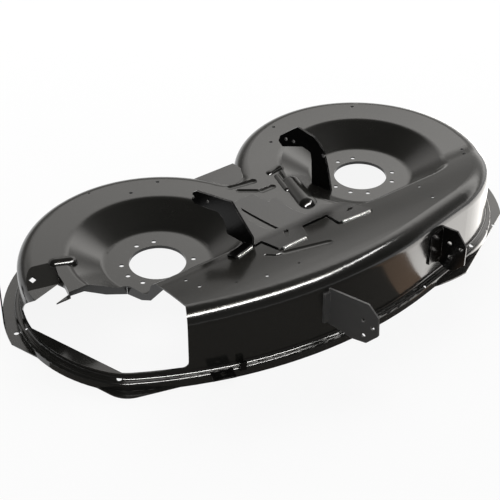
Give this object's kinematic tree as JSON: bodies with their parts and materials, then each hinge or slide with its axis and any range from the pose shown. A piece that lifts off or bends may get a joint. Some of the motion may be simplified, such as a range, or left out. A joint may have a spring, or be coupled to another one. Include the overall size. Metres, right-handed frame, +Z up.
{
  "type": "lawn mower deck",
  "caption": "Drawn steel deck shell for a side-discharge ride-on mower, with round wells for blade spindles, welded hanger brackets, gauge wheel brackets and a flanged rim.",
  "frame": {"origin": "centre of the bounding box at its base, on the ground under the rim", "axes": "+X along the cutting width, away from the discharge side; +Y towards the back of the mower; +Z up"},
  "size_m": [1.1405, 0.8149, 0.2256],
  "materials": {
    "black_paint": "glossy black powder coat on drawn steel sheet",
    "weld": "thinly painted rippled weld bead"
  },
  "bodies": {
    "root": {"deck_shell": "black_paint", "rear_plate": "black_paint", "centre_plate": "black_paint", "left_hanger": "black_paint", "right_hanger": "black_paint", "left_gauge_bracket": "black_paint", "right_gauge_bracket": "black_paint", "chute_tab": "black_paint", "clip": "black_paint", "end_tab": "black_paint", "weld_beads": "weld"}
  },
  "joints": []
}
